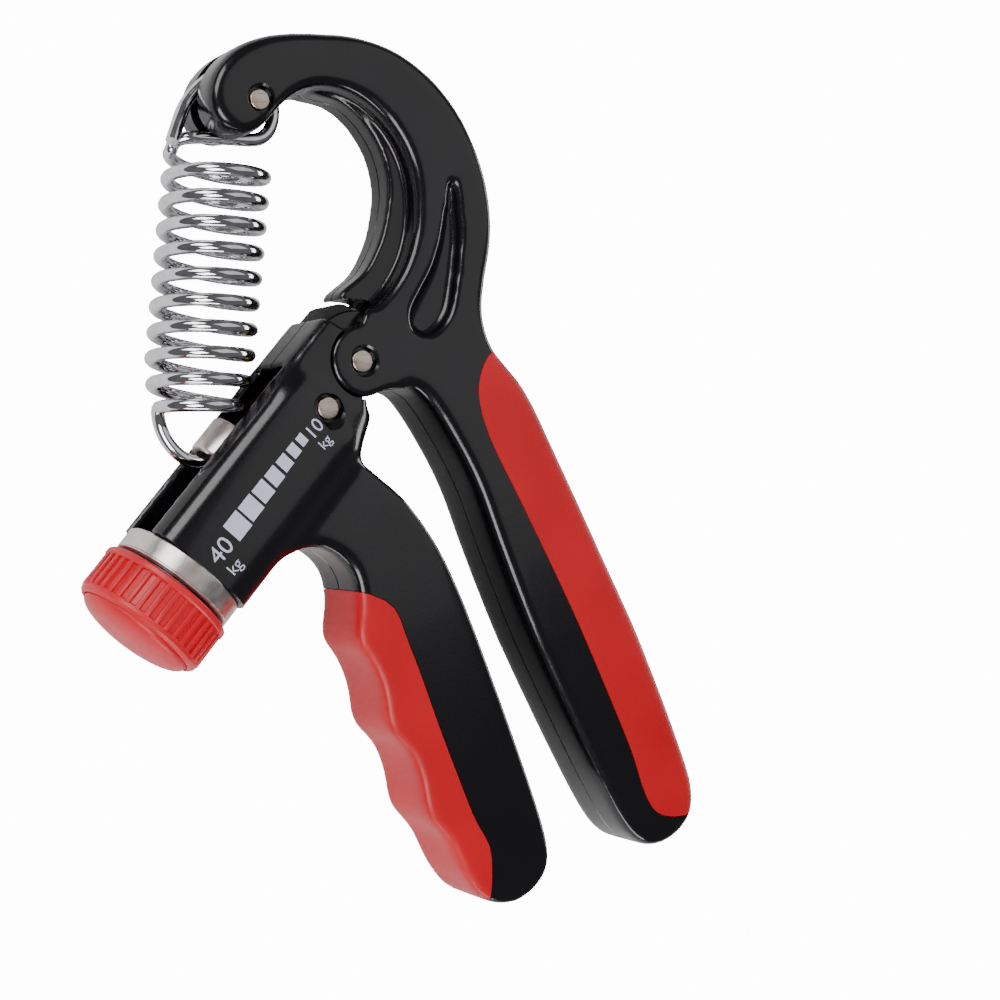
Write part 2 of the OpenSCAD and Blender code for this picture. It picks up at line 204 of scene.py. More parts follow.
def halves(piece, nearName, farName):
    near, far = shellHalf(piece, nearName, 1), shellHalf(piece, farName, -1)
    bpy.data.objects.remove(piece)
    return near, far


def shade(piece, sharpDegrees=32):
    bm = bmesh.new()
    bm.from_mesh(piece.data)
    limit = math.radians(sharpDegrees)
    for face in bm.faces:
        face.smooth = True
    for edge in bm.edges:
        edge.smooth = len(edge.link_faces) == 2 and edge.calc_face_angle(0) < limit
    bm.to_mesh(piece.data)
    bm.free()


def settle(piece, body, material, nodes=(), sharpDegrees=32):
    piece.data.transform(toFrame)
    shade(piece, sharpDegrees)
    piece.data.materials.clear()
    piece.data.materials.append(material)
    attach(piece, body)
    if nodes:
        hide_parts(*nodes)
    return piece


# materials
def colour(code):
    channels = [int(code[i:i + 2], 16) / 255 for i in (1, 3, 5)]
    return [c / 12.92 if c <= 0.04045 else ((c + 0.055) / 1.055) ** 2.4 for c in channels] + [1]


def addNode(tree, kind, settings=None, links=None):
    node = tree.nodes.new(kind)
    for name, value in (settings or {}).items():
        if name in node.inputs:
            node.inputs[name].default_value = value
        else:
            setattr(node, name, value)
    for name, source in (links or {}).items():
        tree.links.new(source, node.inputs[name])
    return node


def blankMaterial(name):
    material = bpy.data.materials.new(name)
    material.use_nodes = True
    tree = material.node_tree
    tree.nodes.clear()
    return material, tree


def toneAndRoughness(tree, look, tones, marks):
    # colour between dark and light, and roughness between its two ends, from the middle range of two noises
    tint = addNode(tree, "ShaderNodeMapRange", {"From Min": 0.3, "From Max": 0.7}, {"Value": tones})
    shades = addNode(tree, "ShaderNodeMix", {"data_type": "RGBA"}, {"Factor": tint.outputs["Result"]})
    for socket, code in zip((s for s in shades.inputs if s.type == "RGBA"), (look["dark"], look["light"])):
        socket.default_value = colour(code)
    rough = addNode(tree, "ShaderNodeMapRange", {"From Min": 0.3, "From Max": 0.7, "To Min": look["roughness"][0],
                                                 "To Max": look["roughness"][1]}, {"Value": marks})
    return next(o for o in shades.outputs if o.type == "RGBA"), rough.outputs["Result"]


def mouldedPlastic(name, look):
    material, tree = blankMaterial(name)
    place = addNode(tree, "ShaderNodeTexCoord").outputs["Object"]
    # slow waves are the pull of the mould, fine grain is its polish
    waves = addNode(tree, "ShaderNodeTexNoise", {"Scale": 1000 / look["wavesMm"], "Detail": 1.0}, {"Vector": place})
    grain = addNode(tree, "ShaderNodeTexNoise", {"Scale": 1000 / look["grainMm"], "Detail": 2.0}, {"Vector": place})
    tone, rough = toneAndRoughness(tree, look, waves.outputs["Fac"], grain.outputs["Fac"])
    waved = addNode(tree, "ShaderNodeBump", {"Strength": look["waveBump"], "Distance": 0.0004},
                    {"Height": waves.outputs["Fac"]})
    grained = addNode(tree, "ShaderNodeBump", {"Strength": look["grainBump"], "Distance": 0.00005},
                      {"Height": grain.outputs["Fac"], "Normal": waved.outputs["Normal"]})
    shader = addNode(tree, "ShaderNodeBsdfPrincipled",
                     {"IOR": look["ior"], "Coat Weight": look["coat"], "Coat Roughness": 0.06},
                     {"Base Color": tone, "Roughness": rough, "Normal": grained.outputs["Normal"]})
    addNode(tree, "ShaderNodeOutputMaterial", links={"Surface": shader.outputs["BSDF"]})
    return material


def plainMetal(name, look):
    material, tree = blankMaterial(name)
    place = addNode(tree, "ShaderNodeTexCoord").outputs["Object"]
    stretch = addNode(tree, "ShaderNodeMapping", {"Scale": look["stretch"]}, {"Vector": place})
    marks = addNode(tree, "ShaderNodeTexNoise", {"Scale": 1000 / look["marksMm"], "Detail": 3.0},
                    {"Vector": stretch.outputs["Vector"]})
    tone, rough = toneAndRoughness(tree, look, marks.outputs["Fac"], marks.outputs["Fac"])
    bump = addNode(tree, "ShaderNodeBump", {"Strength": look["bump"], "Distance": 0.00004},
                   {"Height": marks.outputs["Fac"]})
    shader = addNode(tree, "ShaderNodeBsdfPrincipled", {"Metallic": 1.0},
                     {"Base Color": tone, "Roughness": rough, "Normal": bump.outputs["Normal"]})
    addNode(tree, "ShaderNodeOutputMaterial", links={"Surface": shader.outputs["BSDF"]})
    return material


# moulded black ABS: deep black with a wet gloss and a faint warm cast
blackAbs = mouldedPlastic("mouldedBlackAbs", {
    "dark": "#09070A", "light": "#0E0B10", "roughness": (0.16, 0.22), "ior": 1.5, "coat": 0.2,
    "wavesMm": 14, "grainMm": 0.5, "waveBump": 0.05, "grainBump": 0.12})
# soft-touch red thermoplastic rubber: even satin, no hard highlights
redRubber = mouldedPlastic("satinRedRubber", {
    "dark": "#BC0012", "light": "#CA0218", "roughness": (0.34, 0.44), "ior": 1.5, "coat": 0.0,
    "wavesMm": 18, "grainMm": 0.35, "waveBump": 0.04, "grainBump": 0.3})
# moulded red ABS of the knob: a little lighter and glossier than the grips
redAbs = mouldedPlastic("mouldedRedAbs", {
    "dark": "#CC0A20", "light": "#D81228", "roughness": (0.34, 0.42), "ior": 1.5, "coat": 0.0,
    "wavesMm": 9, "grainMm": 0.4, "waveBump": 0.05, "grainBump": 0.12})
# dull black rubber of the stop
blackRubber = mouldedPlastic("dullBlackRubber", {
    "dark": "#0D0C0C", "light": "#151414", "roughness": (0.6, 0.75), "ior": 1.5, "coat": 0.0,
    "wavesMm": 5, "grainMm": 0.3, "waveBump": 0.1, "grainBump": 0.5})
# pad-printed ink: thin, even and slightly chalky
printInk = mouldedPlastic("paleScaleInk", {
    "dark": "#C3C5DC", "light": "#D2D3E6", "roughness": (0.4, 0.5), "ior": 1.5, "coat": 0.0,
    "wavesMm": 6, "grainMm": 0.25, "waveBump": 0.0, "grainBump": 0.2})
# chrome-plated spring wire: mirror bright, with the faint drawing marks of the wire under it
chromeWire = plainMetal("chromePlatedWire", {
    "dark": "#D4D2D6", "light": "#ECEAED", "roughness": (0.05, 0.09), "marksMm": 1.2, "stretch": (1, 1, 1),
    "bump": 0.08})
# satin nickel plate on turned steel: warm grey, soft streaks round the turning
satinNickel = plainMetal("satinNickelPlate", {
    "dark": "#D6CCC6", "light": "#ECE4DE", "roughness": (0.28, 0.38), "marksMm": 2.5, "stretch": (1, 1, 6),
    "bump": 0.15})
# cut steel pin ends: warm, with saw and grinding marks
cutSteel = plainMetal("cutSteelPin", {
    "dark": "#B9A79B", "light": "#DDCFC6", "roughness": (0.22, 0.36), "marksMm": 0.9, "stretch": (0.35, 1, 1),
    "bump": 0.35})
# zinc-plated steel screw: cool grey, slightly mottled
zincSteel = plainMetal("zincPlatedSteel", {
    "dark": "#8E9094", "light": "#A9ABAF", "roughness": (0.3, 0.42), "marksMm": 0.8, "stretch": (1, 1, 1),
    "bump": 0.25})
# turned brass bearing
turnedBrass = plainMetal("turnedBrass", {
    "dark": "#A7863F", "light": "#C4A35A", "roughness": (0.25, 0.36), "marksMm": 0.8, "stretch": (1, 1, 1),
    "bump": 0.2})
print("materials made")

# palm handle and its gooseneck arm
arm = {
    "half": 8.0, "voxel": 0.5, "rolling": 50, "fineVoxel": 0.4, "softening": 14,
    "line": [(-28.3, 43), (-27, 47.5), (-23, 51.8), (-17, 54.5), (-9, 55.8), (0, 56.1), (7.9, 54.2), (15.1, 49.7),
             (20.4, 43.7), (24.2, 36.2), (26, 28.9), (26, 21.4), (24.6, 14), (24.6, 8), (26.8, 3), (30.5, -0.6),
             (34.3, -5.2), (38.5, -12.6), (44.8, -24), (51.3, -36), (57.6, -47.6), (63.4, -59.8), (68.4, -71.2),
             (71.2, -79), (70.8, -84.6), (66.9, -88.5), (61.3, -90), (57, -87.6), (53, -82.5), (47, -72.3),
             (40.5, -60.5), (34, -48), (27.3, -33), (22.5, -21.5), (17.3, -12.8), (12.5, -6.4), (9, -4.2),
             (5, -4.6), (1.2, -5.4), (-2.4, -3.9), (-4, 0.4), (-3, 4.6), (0.2, 7.6), (3.8, 11), (6.8, 14.8),
             (9, 19.2), (10.2, 24), (10.4, 28.5), (9.8, 33), (8, 37.6), (4.6, 42), (-0.2, 45.4), (-6, 46.8),
             (-11.5, 45.5), (-15.6, 42), (-18.4, 38.7), (-22, 36.8), (-25.6, 37.6), (-27.8, 40)],
    "ribHalf": 3.9,
    "ribLine": [(-9, 50), (-9, 46.4), (-3, 45.3), (1.1, 42.9), (4.3, 39.2), (6.1, 35.4), (6.9, 31), (6.4, 26),
                (5.1, 21.3), (2.2, 16), (-2.8, 11.3), (2, 9), (9, 14), (14, 24), (13, 37), (4, 48)],
    "lugRadius": 6.2, "lugBlank": 9.5, "lugFrom": 95, "lugTo": 300,
    "lugOutside": [(5, -4.7), (9, -4.3), (12.5, -6.4), (12.5, -20), (-20, -20), (-20, 14), (-3, 14), (1.4, 10),
                   (0.1, 7.8)],
    "eyeRoom": 9.4, "cheekInside": 5.2, "bufferRoom": 11.2, "bufferFrom": 71, "bufferTo": 167,
    "recessLine": [(17.6, 35), (18.9, 26.7), (19.1, 21.2), (17.9, 12), (16.4, 7.9), (13.2, 5), (10, 5.8), (9.4, 8.6),
                   (11, 12), (13.6, 16.5), (15.4, 21.5), (16.4, 27)],
    "recessDepth": 2.2, "recessSoftening": 26,
    "tipSlotHalf": 1.6,
    "tipSlotLine": [(-17.5, 60), (-17.5, 54), (-13, 50), (-10, 45.5), (-9, 41), (-9, 32), (-36, 32), (-36, 60)],
    "gripLine": [(36, 4), (27, 3), (24, 0.5), (22.8, -5), (25, -12.5), (31.5, -24), (38, -35.5), (44, -46.5),
                 (50, -58.5), (56, -71), (59.5, -80), (63.5, -84), (72, -84), (84, -80), (72, -50), (50, -12)],
    "gripGap": 0.12,
}
seam = {"width": 0.25, "depth": 0.2}
pins = {"pivotRadius": 2.0, "springRadius": 1.8, "barrelRadius": 2.0, "recess": 1.4, "springPlace": (-19.2, 43.1),
        "barrelPlace": 10.9, "barrelHoleFace": 9.3, "barrelHoleRecess": 1.9, "holeGap": 0.5,
        "flareFrom": -0.3, "flareTo": 1.4, "flareDepth": 1.7, "flareRise": 0.2,
        "armFace": 7.3, "barrelFace": 8.3, "rim": 0.28, "chords": ((-0.28, 0.09), (0.5, 0.06)), "chordDepth": 0.22,
        "chordTurn": 12}


def pinHole(piece, place, radius, face, depth):
    # a counterbore with a broken edge on both faces
    wide, room = radius + pins["holeGap"], 4
    bore = (wide, wide, depth + room, face - depth + (depth + room) / 2)
    flare = (wide + pins["flareFrom"], wide + pins["flareTo"], pins["flareDepth"], face + pins["flareRise"])
    for side in (1, -1):
        flip = Matrix.Translation((place[0], place[1], 0)) @ Matrix.Diagonal((1, 1, side, 1))
        for inner, outer, length, middle in (bore, flare):
            bm = bmesh.new()
            bmesh.ops.create_cone(bm, cap_ends=True, segments=72, radius1=inner, radius2=outer, depth=length,
                                  matrix=Matrix.Translation((0, 0, middle)))
            bmesh.ops.transform(bm, matrix=flip, verts=bm.verts)
            bmesh.ops.recalc_face_normals(bm, faces=bm.faces)
            combine(piece, pieceFrom(bm, "pinHole"), "DIFFERENCE")


def makeArm():
    half = arm["half"]
    blank = plate("arm", closedLine(arm["line"]), -half, half)
    body = joined("palmArm", blank, rod("lug", arm["lugBlank"], -half, half))
    remelt(body, arm["voxel"], arm["rolling"])
    for side in (1, -1):
        low, high = sorted((side * (half - arm["recessDepth"]), side * (half + 3)))
        combine(body, plate("recess", closedLine(arm["recessLine"]), low, high), "DIFFERENCE")
    remelt(body, arm["voxel"], arm["recessSoftening"])
    lugArc = [(arm["lugRadius"] * math.cos(math.radians(a)), arm["lugRadius"] * math.sin(math.radians(a)))
              for a in range(arm["lugFrom"], arm["lugTo"] + 1, 5)]
    combine(body, plate("lugOutside", lugArc + arm["lugOutside"], -farOut, farOut), "DIFFERENCE")
    rib = plate("rib", closedLine(arm["ribLine"]), -arm["ribHalf"], arm["ribHalf"])
    body = joined("palmArm", body, rib)
    remelt(body, arm["fineVoxel"], arm["softening"])
    print("arm body", len(body.data.polygons))
    return body


def finishArm(body):
    inside = arm["cheekInside"]
    combine(body, rod("eyeRoom", arm["eyeRoom"], -inside, inside), "DIFFERENCE")
    room = arm["bufferRoom"]
    sector = [(0, 0)] + [(room * math.cos(math.radians(a)), room * math.sin(math.radians(a)))
                         for a in range(arm["bufferFrom"], arm["bufferTo"] + 1, 8)]
    combine(body, plate("bufferRoom", sector, -inside, inside), "DIFFERENCE")
    combine(body, plate("tipSlot", arm["tipSlotLine"], -arm["tipSlotHalf"], arm["tipSlotHalf"]), "DIFFERENCE")
    pinHole(body, (0, 0), pins["pivotRadius"], arm["half"], pins["recess"])
    pinHole(body, pins["springPlace"], pins["springRadius"], arm["half"], pins["recess"])


def partGrip(body, line, gap, name):
    # cuts the soft insert out of a handle and leaves a hairline between them
    grip = copyOf(body, name)
    combine(grip, plate("gripRegion", line, -farOut, farOut), "INTERSECT")
    wider = plate("gripSeat", line, -farOut, farOut)
    bm = bmesh.new()
    bm.from_mesh(wider.data)
    bm.normal_update()
    sides = {v for f in bm.faces if abs(f.normal.z) < 0.5 for v in f.verts}
    pushes = {v: Vector((v.normal.x, v.normal.y, 0)) for v in sides}
    for v, push in pushes.items():
        v.co += push.normalized() * gap
    bm.to_mesh(wider.data)
    bm.free()
    combine(body, wider, "DIFFERENCE")
    return grip


armBody = makeArm()
palmGrip = partGrip(armBody, closedLine(arm["gripLine"]), arm["gripGap"], "palmGrip")
finishArm(armBody)
palmNear, palmFar = halves(armBody, "palmShellNear", "palmShellFar")
settle(palmNear, "palm_arm", blackAbs, ["palm_shell_near"])
settle(palmFar, "palm_arm", blackAbs, ["palm_shell_far"])
settle(palmGrip, "palm_arm", redRubber, ["palm_grip"])
print("palm arm made")

# finger handle with the barrel
finger = {
    "half": 8.0, "voxel": 0.5, "rolling": 50, "fineVoxel": 0.4, "softening": 14,
    "line": [(8.8, -24.2), (15, -32), (20.8, -43), (28, -60), (34.2, -75.5), (38, -87), (37.2, -93), (31.5, -97),
             (25, -96.2), (20.2, -91), (16.8, -84.5), (12.6, -79.6), (11.2, -73.5), (9, -68.3), (5, -63.8),
             (3.8, -57.6), (1.6, -52.4), (-1.2, -48.4), (-0.8, -42.6), (-1.6, -37.4), (-5, -33.6), (-9.3, -32),
             (-13.5, -33.3), (-17.5, -35), (-20.7, -33), (-20.7, -28.5), (-17, -23), (-12, -18.5), (-7.5, -15.6),
             (-3.5, -15.5), (0.2, -17.6), (3.8, -20.2)],
    "gripLine": [(4, -41.5), (9, -50), (15.5, -66), (21.5, -80), (25.5, -88.5), (22, -101), (0, -90), (-8, -62),
                 (-9, -41)],
    "neckLine": [(-9, 10.2), (16, 10.3), (16, -10.4), (12.4, -10.4), (10.3, -7.4), (8.5, -6), (3.3, -4.4), (-9, -4)],
    "behindPivot": [(-7.2, 7.2), (-4.2, 5.6), (-1.2, 5), (0, 0), (3, -6), (20, -14), (20, 20), (-20, 20),
                    (-12, 10)],
}
barrel = {"half": 10.4, "corner": 4.8, "start": 13.0, "neckStart": 5.0, "end": 46.4, "blankEnd": 51.0,
          "slotHalf": 5.3, "slotStart": 9.9, "boreRadius": 5.35, "lugGap": 0.4, "tongueHalf": 4.85, "eyeRadius": 9.0,
          "neckShrink": (0.94, 0.8), "slotTop": 20, "past": 60, "mouthRoom": 30, "mouthPast": 80,
          "eyeBevel": 0.4, "coreBevel": 0.3, "coreInside": 0.1, "eyeBelow": [(0, 0), (-5, -20), (20, -20), (20, 1.7)]}


def barrelBlank():
    half, corner = barrel["half"], barrel["corner"]
    bm = bmesh.new()
    length = barrel["blankEnd"] - barrel["start"]
    bmesh.ops.create_cube(bm, size=1, matrix=Matrix.Translation((0, 0, barrel["start"] + length / 2))
                          @ Matrix.Diagonal((2 * half, 2 * half, length, 1)))
    longEdges = [e for e in bm.edges if abs((e.verts[0].co - e.verts[1].co).z) > 1]
    bmesh.ops.bevel(bm, geom=longEdges, offset=corner, segments=8, profile=0.5, affect="EDGES", material=-1)
    back = min(bm.faces, key=lambda f: f.calc_center_median().z)
    grown = bmesh.ops.extrude_face_region(bm, geom=[back])["geom"]
    neck = [g for g in grown if isinstance(g, bmesh.types.BMVert)]
    bmesh.ops.translate(bm, verts=neck, vec=(0, 0, barrel["neckStart"] - barrel["start"]))
    across, tall = barrel["neckShrink"]
    bmesh.ops.scale(bm, verts=neck, vec=(finger["half"] / half * across, tall, 1))
    bmesh.ops.recalc_face_normals(bm, faces=bm.faces)
    bmesh.ops.transform(bm, matrix=barrelTurn, verts=bm.verts)
    return pieceFrom(bm, "barrelBlank")


def makeFinger():
    half = finger["half"]
    handle = plate("handle", closedLine(finger["line"]), -half, half)
    neck = plate("neck", [onBarrel(s, n) for s, n in finger["neckLine"]], -half, half)
    body = joined("fingerBody", handle, neck, barrelBlank())
    remelt(body, finger["voxel"], finger["rolling"])
    slotHalf, start, past = barrel["slotHalf"], barrel["slotStart"], barrel["past"]
    combine(body, box("slot", (-slotHalf, 0, start), (slotHalf, barrel["slotTop"], past), barrelTurn), "DIFFERENCE")
    combine(body, rod("bore", barrel["boreRadius"], start, past, turn=barrelTurn), "DIFFERENCE")
    combine(body, plate("behindPivot", finger["behindPivot"], -farOut, farOut), "DIFFERENCE")
    remelt(body, finger["fineVoxel"], finger["softening"])
    print("finger body", len(body.data.polygons))
    return body


def finishFinger(body):
    tongue, far = barrel["tongueHalf"], barrel["mouthRoom"]
    for side in (1, -1):
        low, high = sorted((side * tongue, side * far))
        combine(body, rod("lugRoom", arm["lugRadius"] + barrel["lugGap"], low, high, sides=128), "DIFFERENCE")
    mouth = box("mouth", (-far, -far, barrel["end"]), (far, far, barrel["mouthPast"]), barrelTurn)
    combine(body, mouth, "DIFFERENCE")
    # the eye is wide where it bears the stop and narrow below the arm
    eye = rod("eye", barrel["eyeRadius"], -tongue, tongue, barrel["eyeBevel"], 128)
    combine(eye, plate("eyeBelow", barrel["eyeBelow"], -tongue - 1, tongue + 1), "DIFFERENCE")
    core = rod("eyeCore", arm["lugRadius"] - barrel["coreInside"], -tongue, tongue, barrel["coreBevel"], 96)
    combine(eye, core, "UNION")
    combine(body, eye, "UNION")
    place = onBarrel(pins["barrelPlace"], 0)
    pinHole(body, place, pins["barrelRadius"], pins["barrelHoleFace"], pins["barrelHoleRecess"])


fingerBody = makeFinger()
fingerGrip = partGrip(fingerBody, closedLine(finger["gripLine"]), arm["gripGap"], "fingerGrip")
finishFinger(fingerBody)
fingerNear, fingerFar = halves(fingerBody, "fingerShellNear", "fingerShellFar")
settle(fingerNear, "finger_handle", blackAbs, ["finger_shell_near"])
settle(fingerFar, "finger_handle", blackAbs, ["finger_shell_far"])
settle(fingerGrip, "finger_handle", redRubber, ["finger_grip"])
print("finger handle made")

# pins
def makePin(name, place, radius, face, body):
    # a cut pin end on both sides, each with the chords that its parting left
    pin = rod(name, radius, -face, face, pins["rim"], 72, Matrix.Translation(place))
    turn = Matrix.Translation(place) @ Matrix.Rotation(math.radians(pins["chordTurn"]), 4, "Z")
    for side in (1, -1):
        low, high = sorted((side * (face - pins["chordDepth"]), side * (face + 1)))
        for offset, width in pins["chords"]:
            middle = radius * offset
            combine(pin, box("chord", (-radius, middle - width, low), (radius, middle + width, high), turn),
                    "DIFFERENCE")
    return settle(pin, body, cutSteel, [name.replace("Pin", "_pin")])


makePin("pivotPin", Vector((0, 0, 0)), pins["pivotRadius"], pins["armFace"], "palm_arm")
makePin("springPin", Vector((*pins["springPlace"], 0)), pins["springRadius"], pins["armFace"], "palm_arm")
makePin("barrelPin", onBarrel(pins["barrelPlace"], 0), pins["barrelRadius"], pins["barrelFace"], "finger_handle")
print("pins made")

# collar, knob and its cap: their lips are offsets from an edge, as (radius, along)
knob = {"start": 51.1, "radius": 12.0, "length": 8.6, "backRim": 1.3, "frontRim": 1.5, "ribs": 38, "ribHeight": 0.5,
        "ribWidth": 0.85, "boreRadius": 2.55, "domeRadius": 10.25, "domeRise": 2.7,
        "waistInside": 0.25, "waistStart": 0.1, "backEdge": [(-0.3, 0), (0, 0.3)], "backLip": [(0, -0.25), (-0.2, 0)],
        "frontLip": [(-0.55, 0.05), (-0.4, 0.25)], "frontEdge": [(-0.45, -0.55), (-0.9, -0.1)],
        "seat": [(0.35, 0), (0.1, -0.25), (0.1, -2.5)], "seatDepth": 2.5,
        "ribRoot": 0.3, "ribProud": 0.05, "ribOver": (0.3, 0.4), "ribBevel": 0.16, "capEdge": 0.15, "capDepth": 0.9}
collar = {"start": 46.45, "end": 50.4, "radius": 11.1, "inside": 9.75, "backEdge": [(-0.25, 0), (0, 0.25)],
          "frontLip": [(0, -0.5), (-0.15, -0.35), (-0.15, -0.22), (-0.02, -0.15), (-0.25, 0)]}


def offsets(pairs, radius, along):
    return [(radius + out, along + up) for out, up in pairs]


def makeCollar():
    low, high, out, inside = (collar[k] for k in ("start", "end", "radius", "inside"))
    profile = [(inside, low), *offsets(collar["backEdge"], out, low), *offsets(collar["frontLip"], out, high),
               (inside, high)]
    settle(turned("mouthCollar", profile, barrelTurn), "finger_handle", satinNickel, ["collar"])


def makeKnob():
    start, radius, end, bore = knob["start"], knob["radius"], knob["start"] + knob["length"], knob["boreRadius"]
    waist = radius - knob["ribHeight"] - knob["waistInside"]
    ribLow, ribHigh = start + knob["backRim"], end - knob["frontRim"]
    profile = [(bore, start), *offsets(knob["backEdge"], radius, start), *offsets(knob["backLip"], radius, ribLow),
               (waist, ribLow + knob["waistStart"]), (waist, ribHigh), *offsets(knob["frontLip"], radius, ribHigh),
               *offsets(knob["frontEdge"], radius, end), *offsets(knob["seat"], knob["domeRadius"], end),
               (bore, end - knob["seatDepth"])]
    body = turned("knob", profile, barrelTurn, 152)
    half, root, top = knob["ribWidth"] / 2, waist - knob["ribRoot"], waist + knob["ribHeight"] + knob["ribProud"]
    low, high = ribLow - knob["ribOver"][0], ribHigh + knob["ribOver"][1]
    ribs = []
    for k in range(knob["ribs"]):
        turn = barrelTurn @ Matrix.Rotation(2 * math.pi * k / knob["ribs"], 4, "Z")
        ribs.append(box("rib", (root, -half, low), (top, half, high), turn, knob["ribBevel"]))
    settle(joined("knobBody", body, *ribs), "knob", redAbs, ["knob"])


def makeKnobCap():
    end, wide, edge = knob["start"] + knob["length"], knob["domeRadius"], knob["capEdge"]
    rise = knob["domeRise"] - edge
    dome = [(wide * math.sin(math.radians(a)), end + edge + rise * math.cos(math.radians(a)))
            for a in range(0, 91, 6)]
    profile = dome + [(wide, end - knob["capDepth"]), (0, end - knob["capDepth"])]
    settle(turned("knobCap", profile, barrelTurn, 152), "knob", redAbs, ["knob_cap"], 40)


makeCollar()
makeKnob()
makeKnobCap()
print("knob made")

# travelling nut: a turned nut with a half-round crown, slit at the knob end for the wire
nut = {"middle": 26.3, "crownRadius": 4.6, "crownMiddle": 7.4, "crownLength": 6.5, "wall": 1.2, "bodyRadius": 4.95,
       "bodyHalf": 3.8, "screwRadius": 2.55, "cheekFloor": 1, "hollowFloor": 5, "hollowEnds": (-2.6, 8),
       "boreHalf": 9}


def makeNut():
    middle, half, radius = nut["middle"], nut["crownLength"] / 2, nut["crownRadius"]
    up = barrelTurn @ Matrix.Translation((0, nut["crownMiddle"], 0))
    crown = rod("travelNut", radius, middle - half, middle + half, 0.35, 96, up)
    cheeks = box("cheeks", (-radius, nut["cheekFloor"], middle - half), (radius, nut["crownMiddle"], middle + half),
                 barrelTurn, 0.2)
    combine(crown, cheeks, "UNION")
    combine(crown, rod("nutBody", nut["bodyRadius"], middle - nut["bodyHalf"], middle + nut["bodyHalf"], 0.3, 96,
                       barrelTurn), "UNION")
    hollow = radius - nut["wall"]
    low, high = (middle + end for end in nut["hollowEnds"])
    combine(crown, rod("hollow", hollow, low, high, 0, 96, up), "DIFFERENCE")
    combine(crown, box("hollowWalls", (-hollow, nut["hollowFloor"], low), (hollow, nut["crownMiddle"], high),
                       barrelTurn), "DIFFERENCE")
    combine(crown, rod("screwBore", nut["screwRadius"], middle - nut["boreHalf"], middle + nut["boreHalf"], 0, 64,
                       barrelTurn), "DIFFERENCE")
    settle(crown, "travel_nut", satinNickel, ["travel_nut"])


makeNut()
print("nut made")

# spring: one wire, drawn in two pieces that part behind the coils
spring = {"wire": 1.15, "coil": 8.15, "pitch": 4.35, "turns": 10, "taper": 1.1, "low": (-27.9, -9.4), "tilt": 5.4,
          "pointsPerTurn": 44, "roundness": 4, "partTurn": 5.75, "still": 0.4,
          "lowerLead": (0.03, 0.1), "upperLead": (0.09, 0.02),
          "lowerHook": [(-22.3, -14.2, 0), (-23.4, -15.4, 0), (-25.3, -16.9, 0), (-27.8, -17.6, 0), (-30.5, -16.6, 0),
                        (-32.8, -14.3, 0), (-34.2, -11.3, 0)],
          "upperHook": [(-30.9, 36.3, -1), (-28.4, 37, 0), (-22.5, 37.4, 0), (-17.2, 37.7, 0), (-14.9, 39, 0),
                        (-13.8, 41.4, 0), (-13.9, 44.5, 0), (-15.3, 47.2, 0), (-18, 49.1, 0), (-21.3, 49.4, 0),
                        (-24.4, 47.9, 0), (-27.4, 45.3, 0), (-29.8, 42.2, 0.1), (-31.5, 38.9, 1.4),
                        (-32.9, 35.5, 2.4)]}


def coilPoint(turn):
    tilt, angle = math.radians(spring["tilt"]), math.pi + 2 * math.pi * turn
    up, across = Vector((math.sin(tilt), math.cos(tilt), 0)), Vector((math.cos(tilt), -math.sin(tilt), 0))
    radius = spring["coil"] - spring["taper"] * max(0, 1 - turn / 2)
    return (Vector((*spring["low"], 0)) + up * (spring["pitch"] * turn)
            + across * (radius * math.cos(angle)) - Vector((0, 0, radius * math.sin(angle))))


def coilTurns(low, high):
    count = round((high - low) * spring["pointsPerTurn"])
    return [low + (high - low) * k / count for k in range(count + 1)]


def makeWire(name, route, share, nodes):
    # route is the wire's middle line and share says how far along the stretch each point is
    data = bpy.data.curves.new(name, "CURVE")
    data.dimensions = "3D"
    data.bevel_depth = spring["wire"]
    data.bevel_resolution = spring["roundness"]
    data.use_fill_caps = True
    line = data.splines.new("POLY")
    line.points.add(len(route) - 1)
    for point, place in zip(line.points, route):
        point.co = (*place, 1)
    curve = bpy.data.objects.new(name + "Line", data)
    bpy.context.scene.collection.objects.link(curve)
    graph = bpy.context.evaluated_depsgraph_get()
    mesh = bpy.data.meshes.new_from_object(curve.evaluated_get(graph))
    bpy.data.objects.remove(curve)
    bm = bmesh.new()
    bm.from_mesh(mesh)
    bmesh.ops.remove_doubles(bm, verts=bm.verts, dist=0.0005)   # joins the end caps to the tube
    wire = pieceFrom(bm, name)
    mesh = wire.data
    mesh.transform(toFrame)
    shade(wire, 60)
    mesh.materials.clear()
    mesh.materials.append(chromeWire)
    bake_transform(wire)
    # each vertex's share of the stretch is found from the nearest point of the middle line; the shares are not stored
    # on the mesh
    places = KDTree(len(route))
    for k, place in enumerate(route):
        places.insert(toFrame @ place, k)
    places.balance()
    shares = [share[places.find(vert.co)[1]] for vert in mesh.vertices]
    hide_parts(*nodes)


def makeSpring():
    # the lead turns carry the hooks' curves into the coil, and their last span belongs to the coil
    part, still, turns = spring["partTurn"], spring["still"], spring["turns"]
    first, second = spring["lowerLead"]
    hook = openLine([*spring["lowerHook"], coilPoint(first), coilPoint(second)])[:-8]
    low = coilTurns(first, part)
    share = [min(1, max(0, (t - still) / (part - still))) for t in low[1:]]
    makeWire("springLower", hook + [coilPoint(t) for t in low[1:]], [0] * len(hook) + share,
             ["spring_lower_hook"])
    before, last = (turns - lead for lead in spring["upperLead"])
    high = coilTurns(part, last)
    share = [min(1, max(0, (t - part) / (turns - still - part))) for t in high]
    hook = openLine([coilPoint(before), coilPoint(last), *spring["upperHook"]])[9:]
    makeWire("springUpper", [coilPoint(t) for t in high] + hook, share + [1] * len(hook),
             ["spring_coils", "spring_upper_hook"])


makeSpring()
print("spring made")

